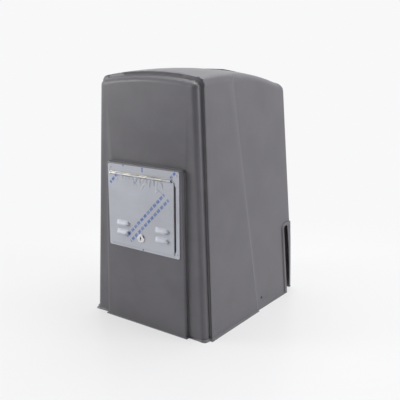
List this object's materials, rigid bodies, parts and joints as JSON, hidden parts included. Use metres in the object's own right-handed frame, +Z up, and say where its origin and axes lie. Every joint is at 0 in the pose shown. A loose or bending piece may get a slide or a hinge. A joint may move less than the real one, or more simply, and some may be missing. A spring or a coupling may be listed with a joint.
{
  "type": "sliding gate motor",
  "caption": "Chain-drive sliding gate operator: a tapered moulded cover with a lockable steel access door over a steel chassis with motor, worm reducer, chain sprocket and controls.",
  "frame": {"origin": "centre of the four anchor slots, on the underside of the base plate", "axes": "+Z up, +X along the gate and its chain, +Y towards the gate; the access door is on the -Y side"},
  "size_m": [0.3774, 0.4525, 0.6178],
  "materials": {
    "cover_plastic": "satin",
    "door_steel": "satin",
    "hinge_steel": "satin",
    "lock_chrome": "polished",
    "zinc_steel": "satin",
    "chassis_paint": "satin",
    "gearbox_iron": "matte",
    "shaft_steel": "satin",
    "brass_fittings": "satin",
    "black_rubber": "matte",
    "black_plastic": "satin",
    "idler_nylon": "satin",
    "pulley_aluminium": "satin",
    "motor_aluminium": "matte",
    "motor_paint": "satin",
    "board_green": "satin",
    "terminal_green": "satin",
    "display_glass": "gloss",
    "transformer_wrap": "satin",
    "stop_red": "gloss",
    "open_green": "gloss",
    "release_red": "gloss"
  },
  "bodies": {
    "chassis": {"base_plate": "chassis_paint", "cover_tabs": "zinc_steel", "drive_bracket": "chassis_paint", "motor_shelf": "chassis_paint", "electrics_panel": "zinc_steel", "gearbox_housing": "gearbox_iron", "gearbox_cover": "gearbox_iron", "gearbox_screws": "zinc_steel", "output_bearings": "shaft_steel", "output_oil_seal": "black_rubber", "worm_bearings": "shaft_steel", "oil_plugs": "brass_fittings", "idler_axles": "zinc_steel", "drive_belt": "black_rubber", "motor_shell": "motor_paint", "motor_bell_drive_end": "motor_aluminium", "motor_bell_fan_end": "motor_aluminium", "motor_capacitor_cover": "motor_paint", "control_board": "board_green", "board_standoffs": "brass_fittings", "board_terminals": "terminal_green", "board_components": "black_plastic", "board_heat_sink": "pulley_aluminium", "status_display": "display_glass", "battery_tray": "zinc_steel", "batteries": "black_plastic", "battery_strap": "zinc_steel", "transformer": "transformer_wrap", "transformer_bolt": "zinc_steel", "ground_lug": "brass_fittings", "controls_bracket": "zinc_steel", "button_housings": "black_plastic", "power_switch_body": "black_plastic", "encoder_sensor": "black_plastic"},
    "cover": {"cover": "cover_plastic", "door_frame_plate": "door_steel", "door_rivets": "door_steel", "hinge_frame_strip": "hinge_steel", "hinge_pin": "hinge_steel"},
    "access_door": {"access_door": "door_steel", "lock_barrel": "lock_chrome", "lock_nut": "lock_chrome"},
    "door_lock": {"lock_plug": "lock_chrome", "lock_cam": "zinc_steel"},
    "motor_rotor": {"motor_shaft": "shaft_steel", "motor_pulley": "pulley_aluminium"},
    "worm": {"worm_shaft": "shaft_steel", "reducer_pulley": "pulley_aluminium"},
    "output": {"output_shaft": "shaft_steel", "worm_wheel": "brass_fittings", "drive_sprocket": "shaft_steel", "encoder_disc": "black_plastic"},
    "idler_left": {"idler_wheel_left": "idler_nylon"},
    "idler_right": {"idler_wheel_right": "idler_nylon"},
    "release": {"release_rod": "zinc_steel", "release_lever": "release_red"},
    "open_button": {"open_button": "open_green"},
    "stop_button": {"stop_button": "stop_red"},
    "close_button": {"close_button": "black_plastic"},
    "power_rocker": {"power_rocker": "stop_red"}
  },
  "joints": [
    {"name": "cover_lift", "type": "slide", "parent": "chassis", "child": "cover", "axis": [0, 0, 1], "range_m": [0, 0.64]},
    {"name": "door_swing", "type": "hinge", "parent": "cover", "child": "access_door", "pos_m": [0, -0.2334, 0.3745], "axis": [-1, 0, 0], "range_deg": [0, 110]},
    {"name": "lock_turn", "type": "hinge", "parent": "access_door", "child": "door_lock", "pos_m": [-0.005, -0.225, 0.2245], "axis": [0, 1, 0], "range_deg": [0, 90]},
    {"name": "motor_spin", "type": "hinge", "parent": "chassis", "child": "motor_rotor", "pos_m": [-0.098, 0.062, 0.324], "axis": [1, 0, 0], "continuous": true},
    {"name": "worm_spin", "type": "hinge", "parent": "chassis", "child": "worm", "pos_m": [0, 0.101, 0.1706], "axis": [1, 0, 0], "continuous": true},
    {"name": "output_spin", "type": "hinge", "parent": "chassis", "child": "output", "pos_m": [0, 0.101, 0.112], "axis": [0, 1, 0], "continuous": true},
    {"name": "idler_left_spin", "type": "hinge", "parent": "chassis", "child": "idler_left", "pos_m": [-0.088, 0.182, 0.104], "axis": [0, 1, 0], "continuous": true},
    {"name": "idler_right_spin", "type": "hinge", "parent": "chassis", "child": "idler_right", "pos_m": [0.088, 0.182, 0.104], "axis": [0, 1, 0], "continuous": true},
    {"name": "release_turn", "type": "hinge", "parent": "chassis", "child": "release", "pos_m": [0.052, -0.176, 0.178], "axis": [0, 1, 0], "range_deg": [0, 75]},
    {"name": "open_press", "type": "slide", "parent": "chassis", "child": "open_button", "axis": [0, 1, 0], "range_m": [0, 0.003], "stiffness_N_per_m": 300},
    {"name": "stop_press", "type": "slide", "parent": "chassis", "child": "stop_button", "axis": [0, 1, 0], "range_m": [0, 0.003], "stiffness_N_per_m": 300},
    {"name": "close_press", "type": "slide", "parent": "chassis", "child": "close_button", "axis": [0, 1, 0], "range_m": [0, 0.003], "stiffness_N_per_m": 300},
    {"name": "power_switch", "type": "hinge", "parent": "chassis", "child": "power_rocker", "pos_m": [-0.036, -0.166, 0.332], "axis": [-1, 0, 0], "range_deg": [0, 16]}
  ],
  "couplings": [
    {"joint": "worm_spin", "follows": "motor_spin", "ratio": 0.61111},
    {"joint": "output_spin", "follows": "motor_spin", "ratio": 0.030556}
  ]
}
